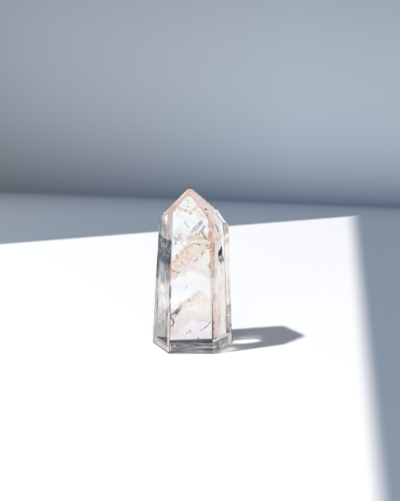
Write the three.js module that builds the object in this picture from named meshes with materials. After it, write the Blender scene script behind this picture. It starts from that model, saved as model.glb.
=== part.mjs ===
// Quartz tower: one natural crystal, cut off flat at its foot and ground to a six-sided point.
// Millimetres, +Z up. The origin is under the middle of the stone, and its widest face looks along -Y.
import * as THREE from "three";
import { mergeVertices } from "three/addons/utils/BufferGeometryUtils.js";

// Where the tip's three faces would meet in a sharp point
const TIP_X = -1.0;
const TIP_Y = 1.5;
const TIP_Z = 72.0;
const TIP = new THREE.Vector3(TIP_X, TIP_Y, TIP_Z);
const INSIDE = new THREE.Vector3(0, 0, TIP_Z / 2);

// Hand-polished edges, the tip worn a little rounder, and the slope of the bevels ground around the foot
const EDGE_RADIUS = 0.3;
const TIP_RADIUS = 0.9;
const BEVEL_LEAN = -45;
const ROUNDING_STEPS = 4;

// Colour and finish of the polished stone
const STONE_COLOUR = 0xeee3dd;
const STONE_ROUGHNESS = 0.06;

// Six long faces. Bearing is the way a face looks, in degrees from -Y towards +X. Lean is how far
// it tips back as it rises. Reach is how far it stands from the axis at the foot, and bevel is how far
// up from the foot its hand-ground bevel goes.
const LONG_FACES = {
  front: { bearing: -0.5, lean: 2.0, reach: 11.5, bevel: 0.4 },
  frontRight: { bearing: 48.0, lean: 2.0, reach: 14.6, bevel: 0.55 },
  backRight: { bearing: 122.3, lean: 1.2, reach: 13.5, bevel: 0.4 },
  back: { bearing: 188.3, lean: 2.5, reach: 10.2, bevel: 0.55 },
  backLeft: { bearing: 231.7, lean: 2.9, reach: 13.3, bevel: 0.4 },
  frontLeft: { bearing: 302.1, lean: 2.4, reach: 15.2, bevel: 0.6 },
};

// Three faces meet in the tip.
const TIP_FACES = {
  front: { bearing: -2.1, lean: 28.3 },
  backRight: { bearing: 130.2, lean: 32.9 },
  backLeft: { bearing: 237.3, lean: 33.7 },
};

// Two narrow shoulders break away from a long face at a given height.
const SHOULDERS = {
  left: { bearing: 300.9, lean: 4.6, height: 50.0, breaksFrom: LONG_FACES.frontLeft },
  right: { bearing: 46.7, lean: 13.7, height: 51.2, breaksFrom: LONG_FACES.frontRight },
};

// Points nearer to each other than this are one point.
const SAME_POINT = 1e-5;

function direction(bearing, lean) {
  const b = THREE.MathUtils.degToRad(bearing);
  const l = THREE.MathUtils.degToRad(lean);
  return new THREE.Vector3(Math.sin(b) * Math.cos(l), -Math.cos(b) * Math.cos(l), Math.sin(l));
}

// A flat cut is the plane through a point, with its normal pointing out of the stone.
function cutThrough(point, bearing, lean) {
  return new THREE.Plane().setFromNormalAndCoplanarPoint(direction(bearing, lean), point);
}

// The point of a long face straight out from the axis, at a height above the foot
function pointOnFace(face, height) {
  const reach = face.reach - height * Math.tan(THREE.MathUtils.degToRad(face.lean));
  return direction(face.bearing, 0).multiplyScalar(reach).setZ(height);
}

function longCuts() {
  return Object.values(LONG_FACES).map((face) => cutThrough(pointOnFace(face, 0), face.bearing, face.lean));
}

function tipCuts() {
  return Object.values(TIP_FACES).map((face) => cutThrough(TIP, face.bearing, face.lean));
}

function shoulderCuts() {
  return Object.values(SHOULDERS).map((shoulder) => {
    const start = pointOnFace(shoulder.breaksFrom, shoulder.height);
    return cutThrough(start, shoulder.bearing, shoulder.lean);
  });
}

function footCuts() {
  const underside = new THREE.Plane(new THREE.Vector3(0, 0, -1), 0);
  const bevels = Object.values(LONG_FACES).map((face) => {
    return cutThrough(pointOnFace(face, face.bevel), face.bearing, BEVEL_LEAN);
  });
  return [underside, ...bevels];
}

// Where three planes cross, or null if they have no single point in common
function crossing(a, b, c) {
  const acrossB = new THREE.Vector3().crossVectors(b.normal, c.normal);
  const acrossC = new THREE.Vector3().crossVectors(c.normal, a.normal);
  const acrossA = new THREE.Vector3().crossVectors(a.normal, b.normal);
  const volume = a.normal.dot(acrossB);
  if (Math.abs(volume) < SAME_POINT) {
    return null;
  }
  return acrossB.multiplyScalar(-a.constant)
    .addScaledVector(acrossC, -b.constant)
    .addScaledVector(acrossA, -c.constant)
    .divideScalar(volume);
}

// True where no cut passes below the point
function isOnStone(point, cuts) {
  return cuts.every((cut) => cut.distanceToPoint(point) < SAME_POINT);
}

function movedIn(cut, distance) {
  return new THREE.Plane(cut.normal, cut.constant + distance);
}

// A small ball that touches a corner's three faces from inside
function cornerBall(faces) {
  const isTip = faces.every((face) => Math.abs(face.distanceToPoint(TIP)) < SAME_POINT);
  const radius = isTip ? TIP_RADIUS : EDGE_RADIUS;
  return { faces, radius, centre: crossing(...faces.map((face) => movedIn(face, radius))) };
}

// The cuts moved in by the edge radius make a smaller, sharp stone. Every three that cross at a point
// with none of the others below it make a corner, and a ball there brings the faces back out.
function findCorners(cuts) {
  const inner = cuts.map((cut) => movedIn(cut, EDGE_RADIUS));
  const corners = [];
  for (let i = 0; i < cuts.length; i += 1) {
    for (let j = i + 1; j < cuts.length; j += 1) {
      for (let k = j + 1; k < cuts.length; k += 1) {
        const point = crossing(inner[i], inner[j], inner[k]);
        if (point && isOnStone(point, inner)) {
          corners.push(cornerBall([cuts[i], cuts[j], cuts[k]]));
        }
      }
    }
  }
  return corners;
}

// A direction between the normals of two or three faces, by how many of the rounding steps go to each
function blended(faces, steps) {
  const sum = new THREE.Vector3();
  faces.forEach((face, i) => sum.addScaledVector(face.normal, steps[i]));
  return sum.normalize();
}

function onBall(corner, outward) {
  return corner.centre.clone().addScaledVector(outward, corner.radius);
}

// Adds the triangle with its points in the order that makes it look out of the stone.
function addTriangle(points, a, b, c) {
  const facing = new THREE.Triangle(a, b, c).getNormal(new THREE.Vector3());
  const isOutward = facing.dot(a.clone().sub(INSIDE)) > 0;
  points.push(a, isOutward ? b : c, isOutward ? c : b);
}

// The flat part of a face, between the balls at its corners
function addFlat(points, cut, corners) {
  const ownCorners = corners.filter((corner) => corner.faces.includes(cut));
  const outline = ownCorners.map((corner) => onBall(corner, cut.normal));
  const middle = new THREE.Vector3();
  outline.forEach((point) => middle.addScaledVector(point, 1 / outline.length));
  const across = outline[0].clone().sub(middle);
  const along = new THREE.Vector3().crossVectors(cut.normal, across);
  const bearing = (point) => {
    const arm = point.clone().sub(middle);
    return Math.atan2(arm.dot(along), arm.dot(across));
  };
  outline.sort((a, b) => bearing(a) - bearing(b));
  for (let i = 1; i < outline.length - 1; i += 1) {
    addTriangle(points, outline[0], outline[i], outline[i + 1]);
  }
}

// The round strip along the edge between two faces
function addEdge(points, faces, ends) {
  for (let i = 0; i < ROUNDING_STEPS; i += 1) {
    const near = blended(faces, [ROUNDING_STEPS - i, i]);
    const far = blended(faces, [ROUNDING_STEPS - i - 1, i + 1]);
    const [a, b] = ends.map((corner) => onBall(corner, near));
    const [c, d] = ends.map((corner) => onBall(corner, far));
    addTriangle(points, a, b, c);
    addTriangle(points, b, d, c);
  }
}

// The round cap over a corner, in rows that get shorter towards its first face
function addCap(points, corner) {
  const at = (row, place) => {
    return onBall(corner, blended(corner.faces, [row, place, ROUNDING_STEPS - row - place]));
  };
  for (let row = 0; row < ROUNDING_STEPS; row += 1) {
    for (let place = 0; place < ROUNDING_STEPS - row; place += 1) {
      addTriangle(points, at(row, place), at(row + 1, place), at(row, place + 1));
      if (place > 0) {
        addTriangle(points, at(row, place), at(row + 1, place), at(row + 1, place - 1));
      }
    }
  }
}

// The stone's whole skin: its flat faces, the round edges between them and the round corners
function roundedStone(cuts) {
  const corners = findCorners(cuts);
  const points = [];
  cuts.forEach((cut, i) => {
    addFlat(points, cut, corners);
    for (const other of cuts.slice(i + 1)) {
      const ends = corners.filter((corner) => corner.faces.includes(cut) && corner.faces.includes(other));
      if (ends.length === 2) {
        addEdge(points, [cut, other], ends);
      }
    }
  });
  corners.forEach((corner) => addCap(points, corner));
  const skin = mergeVertices(new THREE.BufferGeometry().setFromPoints(points), SAME_POINT);
  skin.computeVertexNormals();
  return skin;
}

// The origin goes under the middle of the stone.
function centred(geometry) {
  geometry.computeBoundingBox();
  const middle = geometry.boundingBox.getCenter(new THREE.Vector3());
  return geometry.translate(-middle.x, -middle.y, -geometry.boundingBox.min.z);
}

function crystal() {
  const cuts = [...longCuts(), ...tipCuts(), ...shoulderCuts(), ...footCuts()];
  const material = new THREE.MeshStandardMaterial({
    color: STONE_COLOUR,
    roughness: STONE_ROUGHNESS,
    metalness: 0,
  });
  const mesh = new THREE.Mesh(centred(roundedStone(cuts)), material);
  mesh.name = "crystal";
  return mesh;
}

const tower = new THREE.Group();
tower.add(crystal());

export default tower;
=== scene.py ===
import math
import random

import bmesh
import bpy
import numpy as np
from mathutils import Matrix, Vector, noise
from mathutils.bvhtree import BVHTree


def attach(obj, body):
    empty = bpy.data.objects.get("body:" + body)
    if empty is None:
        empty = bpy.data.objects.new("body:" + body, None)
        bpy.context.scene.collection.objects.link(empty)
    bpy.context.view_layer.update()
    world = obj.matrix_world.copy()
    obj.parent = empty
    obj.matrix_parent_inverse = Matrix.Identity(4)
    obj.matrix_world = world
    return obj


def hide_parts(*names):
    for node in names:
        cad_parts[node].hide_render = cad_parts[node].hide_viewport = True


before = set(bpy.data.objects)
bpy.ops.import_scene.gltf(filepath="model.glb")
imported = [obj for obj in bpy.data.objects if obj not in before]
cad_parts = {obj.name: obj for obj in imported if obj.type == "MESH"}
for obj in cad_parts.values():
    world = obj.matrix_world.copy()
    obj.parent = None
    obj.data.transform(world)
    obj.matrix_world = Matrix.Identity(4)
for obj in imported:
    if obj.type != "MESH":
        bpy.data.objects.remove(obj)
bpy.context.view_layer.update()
MM = 0.001

# Camera: place in millimetres, pitch in degrees, lens and film height, nearest sight in metres
CAMERA_PLACE = (3.28, -507.42, 238.2)
CAMERA_PITCH = 21.0
CAMERA_LENS = 91.25
CAMERA_SENSOR = 36.0
CAMERA_NEAR = 0.01

# Floor and wall, one flat sheet: half its width and its height in millimetres, and its colours, which paint
# the shade on the floor, in the corner and on the wall
FLOOR_HALF = 3000.0
FLOOR_Z = -0.08
FLOOR_PALE = (0.86, 0.86, 0.86)
FLOOR_SHADE_LEFT = (0.262, 0.298, 0.345)
FLOOR_SHADE_RIGHT = (0.213, 0.256, 0.315)
CORNER_SHADE_LEFT = (0.090, 0.097, 0.108)
CORNER_SHADE_RIGHT = (0.087, 0.122, 0.185)
WALL_SHADE_LEFT = (0.315, 0.345, 0.39)
WALL_SHADE_RIGHT = (0.435, 0.494, 0.555)
# The shade's two straight edges, in metres: slope, where the shade starts and where it is full
SHADE_BEHIND = (-0.232, 0.1443, 0.1483)
SHADE_RIGHT = (-0.0796, 0.0704, 0.0813)
# The corner between floor and wall: slope, place, and how far its painted shade reaches at the left and the
# right
CORNER_SLOPE, CORNER_PLACE = 0.1247, 0.1976
FLOOR_REACH = (0.018, 0.008)
WALL_REACH = (0.20, 0.085)
# The painted shade's colours change from left to right in a fan: how it widens, its width at the stone, its
# ends, its curve
FAN_WIDENS, FAN_WIDTH, FAN_LEFT, FAN_RIGHT, FAN_CURVE = 0.934, 0.559, -0.17, 0.08, 0.75

# Lights: azimuth and height in degrees, distance and sizes in metres, power in watts
KEY_WAY = (-75.5, 58.0, 3.0)
KEY_SIZE = 0.12
KEY_POWER = 96.0
KEY_COLOUR = (1.0, 0.99, 0.975)
FILL_WAY = (6.0, 8.0, 1.5)
FILL_WIDE, FILL_TALL = 3.4, 0.42
FILL_POWER = 47.0
# Gleams: height in millimetres and source size in metres, then name, place on the floor, half sizes, turn,
# power, colour and softness
GLEAM_HEIGHT = 250.0
GLEAM_SOURCE = 0.0015
GLEAMS = [
    ("gleam_streak", (23.4, 1.3), 7.8, 1.7, 11.0, 3.0, (1.0, 0.96, 0.90), 0.45),
    ("gleam_fan", (24.0, 4.0), 9.0, 4.0, 16.0, 0.55, (1.0, 0.98, 0.95), 1.0),
    ("gleam_foot", (15.4, -7.6), 5.0, 0.8, 36.0, 3.2, (1.0, 0.90, 0.78), 0.6),
]

# The room around: its colour on the viewer's side and beyond the stone,
# and where between the two it changes
ROOM_NEAR = (0.07, 0.10, 0.15, 1)
ROOM_FAR = (0.22, 0.215, 0.23, 1)
ROOM_TURN = (0.45, 0.85)

QUARTZ_IOR = 1.544
QUARTZ_ABSORPTION = {"Color": (1.0, 0.80, 0.72, 1), "Density": 0.05}
# Points of the stone nearer than this, in metres, are one point.
SAME_POINT = 1e-6
# A flat face is larger than this, in square metres, and faces whose normals agree this well are one.
FLAT_AREA = 20e-6
SAME_WAY = 0.9999

# Films, in millimetres and per millimetre: thickness, waves, and the least cover that is built
FILM_THICK = 0.05
FILM_WAVE = 0.12
FILM_SEED = 1.0
LEAST_COVER = 0.02
# The least depth below the skin, in millimetres: film points, grains, and the middle of a grain
FILM_MARGIN = 0.03
GRAIN_MARGIN = 0.06
MIDDLE_MARGIN = 0.12
# How much grains differ in outline, direction, size and tone
OUTLINE_SPREAD = 0.35
WAY_SPREAD = 0.25
SIZE_SPREAD = 0.35
TONE_SPREAD = 0.18
LEAF_THICK = 0.12
THREAD_SIDES = 6


# Material nodes
def feed(tree, socket, value):
    """Gives a socket a value, or links another node's output to it"""
    if isinstance(value, bpy.types.NodeSocket):
        tree.links.new(value, socket)
    else:
        socket.default_value = value


def add_node(tree, kind, inputs=None, **settings):
    node = tree.nodes.new(kind)
    for key, value in settings.items():
        setattr(node, key, value)
    for key, value in (inputs or {}).items():
        feed(tree, node.inputs[key], value)
    return node


class Nodes:
    """One material and the nodes that feed its shader"""

    def __init__(self, name):
        self.material = bpy.data.materials.new(name)
        self.material.use_nodes = True
        self.tree = self.material.node_tree
        self.shader = self.tree.nodes["Principled BSDF"]

    def add(self, kind, inputs=None, **settings):
        return add_node(self.tree, kind, inputs, **settings)

    def set(self, **values):
        for key, value in values.items():
            self.feed(key.replace("_", " "), value)

    def feed(self, socket, value):
        feed(self.tree, self.shader.inputs[socket], value)

    def math(self, operation, a, b=0.5, clamp=False):
        return self.add("ShaderNodeMath", {0: a, 1: b}, operation=operation, use_clamp=clamp).outputs[0]

    def place(self):
        return self.add("ShaderNodeTexCoord").outputs["Object"]

    def point_value(self, name):
        return self.add("ShaderNodeAttribute", attribute_name=name).outputs["Fac"]

    def noise(self, scale, detail, rough=0.55, stretch=None, turn=(0, 0, 0)):
        at = self.place()
        if stretch:
            at = self.add("ShaderNodeMapping", {"Vector": at, "Rotation": turn, "Scale": stretch}).outputs[0]
        return self.add("ShaderNodeTexNoise", {
            "Vector": at, "Scale": scale, "Detail": detail, "Roughness": rough,
        }).outputs["Fac"]

    def ramp(self, factor, stops):
        node = self.add("ShaderNodeValToRGB", {"Fac": factor})
        ramp = node.color_ramp
        while len(ramp.elements) < len(stops):
            ramp.elements.new(0.5)
        for element, (at, colour) in zip(ramp.elements, stops):
            element.position = at
            element.color = (*colour, 1)
        return node.outputs["Color"]

    def bump(self, height, strength, distance):
        inputs = {"Height": height, "Strength": strength, "Distance": distance}
        return self.add("ShaderNodeBump", inputs).outputs[0]

    def spread(self, value, start, end, low=0.0, high=1.0, kind="LINEAR"):
        """The value's range from start to end, spread over low to high"""
        return self.add("ShaderNodeMapRange", {
            "Value": value, "From Min": start, "From Max": end, "To Min": low, "To Max": high,
        }, interpolation_type=kind).outputs[0]

    def mix(self, factor, a, b):
        """A colour between two, each a colour or another node's output"""
        a, b = [(*c, 1) if isinstance(c, tuple) else c for c in (a, b)]
        node = self.add("ShaderNodeMix", {"Factor": factor, "A": a, "B": b}, data_type="RGBA")
        return node.outputs["Result"]


def paint_clear_quartz():
    n = Nodes("clear_quartz")
    n.set(Base_Color=(1, 1, 1, 1), Roughness=0.0, IOR=QUARTZ_IOR, Transmission_Weight=1.0)
    n.feed("Normal", n.bump(n.noise(90, 2.0), 0.05, 0.0004))
    absorb = n.add("ShaderNodeVolumeAbsorption", QUARTZ_ABSORPTION)
    n.tree.links.new(absorb.outputs[0], n.tree.nodes["Material Output"].inputs["Volume"])
    return n.material


def paint_veil(name, stops, clear=True, grain=900.0, contrast=0.6, stretch=None, turn=(0, 0, 0)):
    """A thin veil of specks too fine to see one by one. A clear one only tints what is behind it."""
    n = Nodes(name)
    mottle = n.noise(grain, 4.0, 0.6, stretch=stretch, turn=turn)
    swing = n.math("MULTIPLY", n.math("SUBTRACT", mottle, 0.5), contrast)
    colour = n.ramp(n.math("ADD", n.point_value("tone"), swing, clamp=True), stops)
    patchy = n.spread(mottle, 0.30, 0.70, 0.6, 1.35)
    amount = n.math("MULTIPLY", n.point_value("cover"), patchy, clamp=True)
    if clear:
        n.feed("Base Color", n.mix(amount, (1, 1, 1), colour))
        n.set(Roughness=0.0, IOR=1.0, Transmission_Weight=1.0)
    else:
        n.feed("Base Color", colour)
        n.feed("Alpha", amount)
        n.set(Roughness=0.7, Specular_IOR_Level=0.2)
    return n.material


def paint_specks(name, stops, roughness=0.6):
    n = Nodes(name)
    tone = n.math("MULTIPLY", n.point_value("tone"), 0.75)
    n.feed("Base Color", n.ramp(n.math("ADD", tone, n.math("MULTIPLY", n.noise(2500, 2.0), 0.25)), stops))
    n.set(Roughness=roughness, Specular_IOR_Level=0.3)
    return n.material


def paint_silver():
    n = Nodes("silver_flake")
    grain = n.noise(700, 4.0, 0.6, stretch=(1, 1, 0.25), turn=(0.3, 0.9, 0.2))
    n.feed("Base Color", n.ramp(grain, [
        (0.35, (0.34, 0.36, 0.38)), (0.5, (0.66, 0.67, 0.68)), (0.62, (0.95, 0.95, 0.95))]))
    n.feed("Roughness", n.spread(grain, 0.0, 1.0, 0.2, 0.5))
    n.set(Metallic=0.2)
    n.feed("Normal", n.bump(grain, 0.4, 0.0002))
    return n.material


# The stone's own planes and skin
def stone_planes():
    """The flat faces and the foot, each as its normal and its distance from the origin in millimetres"""
    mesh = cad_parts["crystal"].data
    found = []
    for face in sorted(mesh.polygons, key=lambda f: -f.area):
        normal = face.normal.copy()
        reach = normal.dot(mesh.vertices[face.vertices[0]].co) / MM
        if face.area > FLAT_AREA and all(normal.dot(other) < SAME_WAY for other, _ in found):
            found.append((normal, reach))
    found.append((Vector((0, 0, -1)), 0.0))
    return found


PLANES = stone_planes()
NORMALS = np.array([list(n) for n, _ in PLANES])
REACHES = np.array([d for _, d in PLANES])


def depth_inside(point):
    """How far a point in millimetres is below the nearest face"""
    return (REACHES - np.atleast_2d(point) @ NORMALS.T).min()


def stone_skin():
    """The stone's rounded outside in millimetres, for finding its nearest point"""
    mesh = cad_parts["crystal"].data
    points = [v.co / MM for v in mesh.vertices]
    return BVHTree.FromPolygons(points, [tuple(f.vertices) for f in mesh.polygons])


SKIN = stone_skin()


def kept_inside(p):
    """The point, moved in where a rounded edge would leave it too near the skin or outside"""
    nearest, outward, _, _ = SKIN.find_nearest(p)
    return p - outward * max(0.0, (p - nearest).dot(outward) + FILM_MARGIN)


def face_plane(bearing, lean):
    """The stone's face that looks that way: its normal, and its distance from the origin"""
    b, l = math.radians(bearing), math.radians(lean)
    wanted = Vector((math.sin(b) * math.cos(l), -math.cos(b) * math.cos(l), math.sin(l)))
    return max(PLANES, key=lambda plane: plane[0].dot(wanted))


# Small helpers
def clamp(value):
    return min(1.0, max(0.0, value))


def smooth(low, high, value):
    """0 at low, 1 at high, and a soft curve between"""
    t = clamp((value - low) / (high - low))
    return t * t * (3 - 2 * t)


def cloud(point, scale, seed):
    """Soft random value, about 0 to 1"""
    at = Vector(point) * scale + Vector((seed * 7.31, seed * 3.17, seed * 5.77))
    return 0.5 + 0.5 * noise.fractal(at, 0.6, 2.0, 4)


def waver(point, scale, seed):
    """The same, about -1 to 1"""
    return 2.0 * (cloud(point, scale, seed) - 0.5)


def near_line(point, a, b):
    """Distance from a point to the line from a to b"""
    p, a, b = Vector(point), Vector(a), Vector(b)
    line = b - a
    t = clamp((p - a).dot(line) / line.length_squared)
    return (p - a - line * t).length


def add_piece(name, mesh, material):
    mesh.materials.append(material)
    piece = bpy.data.objects.new(name, mesh)
    bpy.context.scene.collection.objects.link(piece)
    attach(piece, "root")
    return piece


def add_mesh(name, material, points, faces, smoothed=False, **point_values):
    """A piece from points in metres. Each named list gives a value for every point."""
    mesh = bpy.data.meshes.new(name)
    mesh.from_pydata(points, [], faces)
    if smoothed:
        mesh.shade_smooth()
    for key, values in point_values.items():
        mesh.attributes.new(key, "FLOAT", "POINT").data.foreach_set("value", np.asarray(values, np.float32))
    add_piece(name, mesh, material)


# Builders
def add_film(name, material, corner_shade, across, up, look, cell=0.45, rumple=0.5, margin=0.35):
    """A thin closed film inside the stone. Its look at a point is a cover and a tone, both 0 to 1."""
    corner_shade, across, up = Vector(corner_shade), Vector(across), Vector(up)
    columns, rows = round(across.length / cell), round(up.length / cell)
    normal = across.cross(up).normalized()
    spots, amounts, tones = {}, {}, {}
    for i in range(columns + 1):
        for j in range(rows + 1):
            p = corner_shade + across * (i / columns) + up * (j / rows)
            p += normal * rumple * waver(p, FILM_WAVE, FILM_SEED)
            spots[i, j] = p
            cover, tones[i, j] = look(p)
            amounts[i, j] = max(0.0, cover) if depth_inside(p) > margin else -1.0
            if amounts[i, j] > 0:
                spots[i, j] = kept_inside(p)
    cells = []
    for i in range(columns):
        for j in range(rows):
            ring = [(i, j), (i + 1, j), (i + 1, j + 1), (i, j + 1)]
            found = [amounts[k] for k in ring]
            if min(found) >= 0 and max(found) > LEAST_COVER:
                cells.append(ring)
    used = sorted({k for ring in cells for k in ring})
    index = {k: n for n, k in enumerate(used)}
    count = len(used)
    lift = normal * FILM_THICK / 2
    points = [(spots[k] + lift) * MM for k in used] + [(spots[k] - lift) * MM for k in used]
    faces, sides = [], {}
    for ring in cells:
        ids = [index[k] for k in ring]
        faces.append(ids)
        faces.append([n + count for n in reversed(ids)])
        for a, b in zip(ids, ids[1:] + ids[:1]):
            if (b, a) in sides:
                del sides[b, a]
            else:
                sides[a, b] = True
    faces += [[b, a, a + count, b + count] for a, b in sides]
    add_mesh(name, material, points, faces, True, cover=[amounts[k] for k in used] * 2,
             tone=[tones[k] for k in used] * 2)


# The two shapes of grains: their corners and their faces
TETRA = (np.array([(1, 0, -0.35), (-0.5, 0.87, -0.35), (-0.5, -0.87, -0.35), (0, 0, 0.9)]),
         np.array([(0, 2, 1), (0, 1, 3), (1, 2, 3), (2, 0, 3)]))
OCTA = (np.array([(1, 0, 0), (-1, 0, 0), (0, 1, 0), (0, -1, 0), (0, 0, 1), (0, 0, -1)], float),
        np.array([(0, 2, 4), (2, 1, 4), (1, 3, 4), (3, 0, 4), (2, 0, 5), (1, 2, 5), (3, 1, 5), (0, 3, 5)]))


def add_specks(name, material, specks, seed, shape=TETRA):
    """Many small closed grains as one mesh. Each is (centre, long way, flat way, three half sizes, tone)."""
    rng = np.random.default_rng(seed)
    corners, sides = shape
    points, faces, tones = [], [], []
    for centre, way, flat, size, tone in specks:
        x = Vector(way).normalized()
        z = (Vector(flat) - x * Vector(flat).dot(x)).normalized()
        basis = np.array([list(x), list(z.cross(x)), list(z)])
        own = corners * (1 + rng.uniform(-OUTLINE_SPREAD, OUTLINE_SPREAD, corners.shape)) * np.array(size)
        faces.append(sides + len(points) * len(corners))
        placed = own @ basis + np.array(centre)
        # A grain that would reach out of the stone is pushed in.
        shortfall = GRAIN_MARGIN - (REACHES - placed @ NORMALS.T).min(axis=0)
        points.append(placed - np.maximum(0.0, shortfall) @ NORMALS)
        tones += [tone] * len(corners)
    points = (np.concatenate(points) * MM).tolist()
    add_mesh(name, material, points, np.concatenate(faces).tolist(), tone=tones)


def random_way(rng):
    return Vector((rng.gauss(0, 1), rng.gauss(0, 1), rng.gauss(0, 1)))


def one_speck(rng, p, size, flat, way, tone, spread=0.5):
    """A grain for add_specks, somewhat off the directions, size and tone that are given"""
    jitter = random_way(rng)
    normal = Vector(flat) + jitter * spread if flat is not None else jitter
    own_way = Vector(way) + random_way(rng) * WAY_SPREAD if way is not None else random_way(rng)
    k = math.exp(rng.gauss(0, SIZE_SPREAD))
    own_tone = rng.random() if tone is None else clamp(rng.gauss(tone, TONE_SPREAD))
    return tuple(p), tuple(own_way), tuple(normal), [s * k for s in size], own_tone


def on_face(rng, count, face, box, density, size, below, way, tone):
    """Specks that lie just below one of the stone's faces"""
    normal, reach = face
    low, high = Vector(box[0]), Vector(box[1])
    specks, tries = [], 0
    while len(specks) < count and tries < count * 80:
        tries += 1
        p = Vector(rng.uniform(a, b) for a, b in zip(low, high))
        p -= normal * (normal.dot(p) - reach + rng.uniform(*below))
        if depth_inside(p) < below[0] - 0.02 or rng.random() > density(p):
            continue
        specks.append(one_speck(rng, p, size, normal, way, tone, 0.25))
    return specks


def add_leaf(name, material, outline, lift, tone):
    """An angular flake: facets that rise to a ridge, closed behind"""
    ring = [Vector(p) for p in outline]
    middle = sum(ring, Vector()) / len(ring)
    normal = (ring[1] - ring[0]).cross(ring[2] - ring[1]).normalized()
    points = ring + [p - normal * LEAF_THICK for p in ring]
    points += [middle + normal * lift, middle - normal * (LEAF_THICK + lift * 0.3)]
    k = len(ring)
    faces = []
    for i in range(k):
        j = (i + 1) % k
        faces += [(i, j, 2 * k), (j + k, i + k, 2 * k + 1), (i + k, j + k, j, i)]
    count = len(points)
    add_mesh(name, material, [p * MM for p in points], faces, cover=[1.0] * count, tone=[tone] * count)


def tube(path, radius, rng):
    """Vertices and faces of a thin closed thread"""
    rings, faces, sides = [], [], THREAD_SIDES
    angles = [math.tau * s / sides for s in range(sides)]
    for i, p in enumerate(path):
        ahead = (path[min(i + 1, len(path) - 1)] - path[max(i - 1, 0)]).normalized()
        x = ahead.orthogonal().normalized()
        y = ahead.cross(x)
        r = radius * (0.25 if i in (0, len(path) - 1) else rng.uniform(0.7, 1.3))
        rings.append([p + (x * math.cos(a) + y * math.sin(a)) * r for a in angles])
    for i in range(len(rings) - 1):
        for s in range(sides):
            t = (s + 1) % sides
            faces.append((i * sides + s, i * sides + t, (i + 1) * sides + t, (i + 1) * sides + s))
    faces.append(tuple(reversed(range(sides))))
    faces.append(tuple(range((len(rings) - 1) * sides, len(rings) * sides)))
    return [p for ring in rings for p in ring], faces


def wander(points, steps, amount, seed):
    """More points along a line, moved a little from side to side"""
    path = [Vector(p) for p in points]
    out = []
    for a, b in zip(path, path[1:]):
        for s in range(steps):
            p = a.lerp(b, s / steps)
            out.append(p + Vector(noise.noise_vector(p * 0.9 + Vector((seed, 0, 0)))) * amount)
    return out + [path[-1]]


def add_threads(name, material, threads, seed):
    """Thin threads as one mesh. Each is (its points, its radius, its tone)."""
    rng = random.Random(seed)
    noise.seed_set(seed)
    points, faces, tones = [], [], []
    for line, radius, tone in threads:
        own, sides = tube(wander(line, 5, 0.35, seed), radius, rng)
        faces += [tuple(n + len(points) for n in side) for side in sides]
        points += own
        tones += [tone] * len(own)
    add_mesh(name, material, [p * MM for p in points], faces, True, tone=tones)


# Camera, lights, room and floor
def add_camera():
    data = bpy.data.cameras.new("camera")
    data.sensor_fit = "VERTICAL"
    data.sensor_height = CAMERA_SENSOR
    data.lens = CAMERA_LENS
    data.clip_start = CAMERA_NEAR
    camera = bpy.data.objects.new("camera", data)
    camera.location = Vector(CAMERA_PLACE) * MM
    camera.rotation_euler = (math.pi / 2 - math.radians(CAMERA_PITCH), 0, 0)
    bpy.context.scene.collection.objects.link(camera)
    bpy.context.scene.camera = camera


def new_light(name, kind, power, colour=(1, 1, 1)):
    data = bpy.data.lights.new(name, kind)
    data.energy = power
    data.color = colour
    light = bpy.data.objects.new(name, data)
    bpy.context.scene.collection.objects.link(light)
    return light


def aim(light, azimuth, height, distance):
    """Puts a light that way and that far from the stone's foot, looking at it"""
    a, h = math.radians(azimuth), math.radians(height)
    light.location = Vector((math.sin(a) * math.cos(h), -math.cos(a) * math.cos(h), math.sin(h))) * distance
    light.rotation_euler = (-light.location).to_track_quat("-Z", "Y").to_euler()


def add_fill_light():
    """A wide low light on the viewer's side"""
    light = new_light("fill", "AREA", FILL_POWER)
    light.data.shape = "RECTANGLE"
    light.data.size = FILL_WIDE
    light.data.size_y = FILL_TALL
    aim(light, *FILL_WAY)


def add_key_light():
    """The sun, from the left"""
    light = new_light("key", "AREA", KEY_POWER, KEY_COLOUR)
    light.data.shape = "DISK"
    light.data.size = KEY_SIZE
    light.data.cycles.is_caustics_light = True
    aim(light, *KEY_WAY)


def add_gleams():
    """Small spots in the stone's shadow, where the real stone throws the sunlight that passes through it"""
    for name, place, half_long, half_wide, turn, power, colour, softness in GLEAMS:
        light = new_light(name, "SPOT", power, colour)
        light.data.shadow_soft_size = GLEAM_SOURCE
        light.data.spot_size = 2 * math.atan(half_long / GLEAM_HEIGHT)
        light.data.spot_blend = softness
        light.location = Vector((place[0], place[1], GLEAM_HEIGHT)) * MM
        light.rotation_euler.z = math.radians(turn)
        light.scale.y = half_wide / half_long
        light.visible_camera = False
        light.visible_glossy = False
        light.visible_transmission = False


def add_room():
    world = bpy.data.worlds.new("room")
    world.use_nodes = True
    tree = world.node_tree
    way = add_node(tree, "ShaderNodeTexCoord").outputs["Generated"]
    parts = add_node(tree, "ShaderNodeSeparateXYZ", {0: way})
    beyond = add_node(tree, "ShaderNodeMapRange", {
        "Value": parts.outputs["Y"], "From Min": ROOM_TURN[0], "From Max": ROOM_TURN[1],
    }, interpolation_type="SMOOTHSTEP").outputs[0]
    mix = add_node(tree, "ShaderNodeMix", {"Factor": beyond, "A": ROOM_NEAR, "B": ROOM_FAR}, data_type="RGBA")
    feed(tree, tree.nodes["Background"].inputs["Color"], mix.outputs["Result"])
    bpy.context.scene.world = world


# The floor's colour paints the sun's pool, the shade around it, the shaded corner and the shaded wall.
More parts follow.
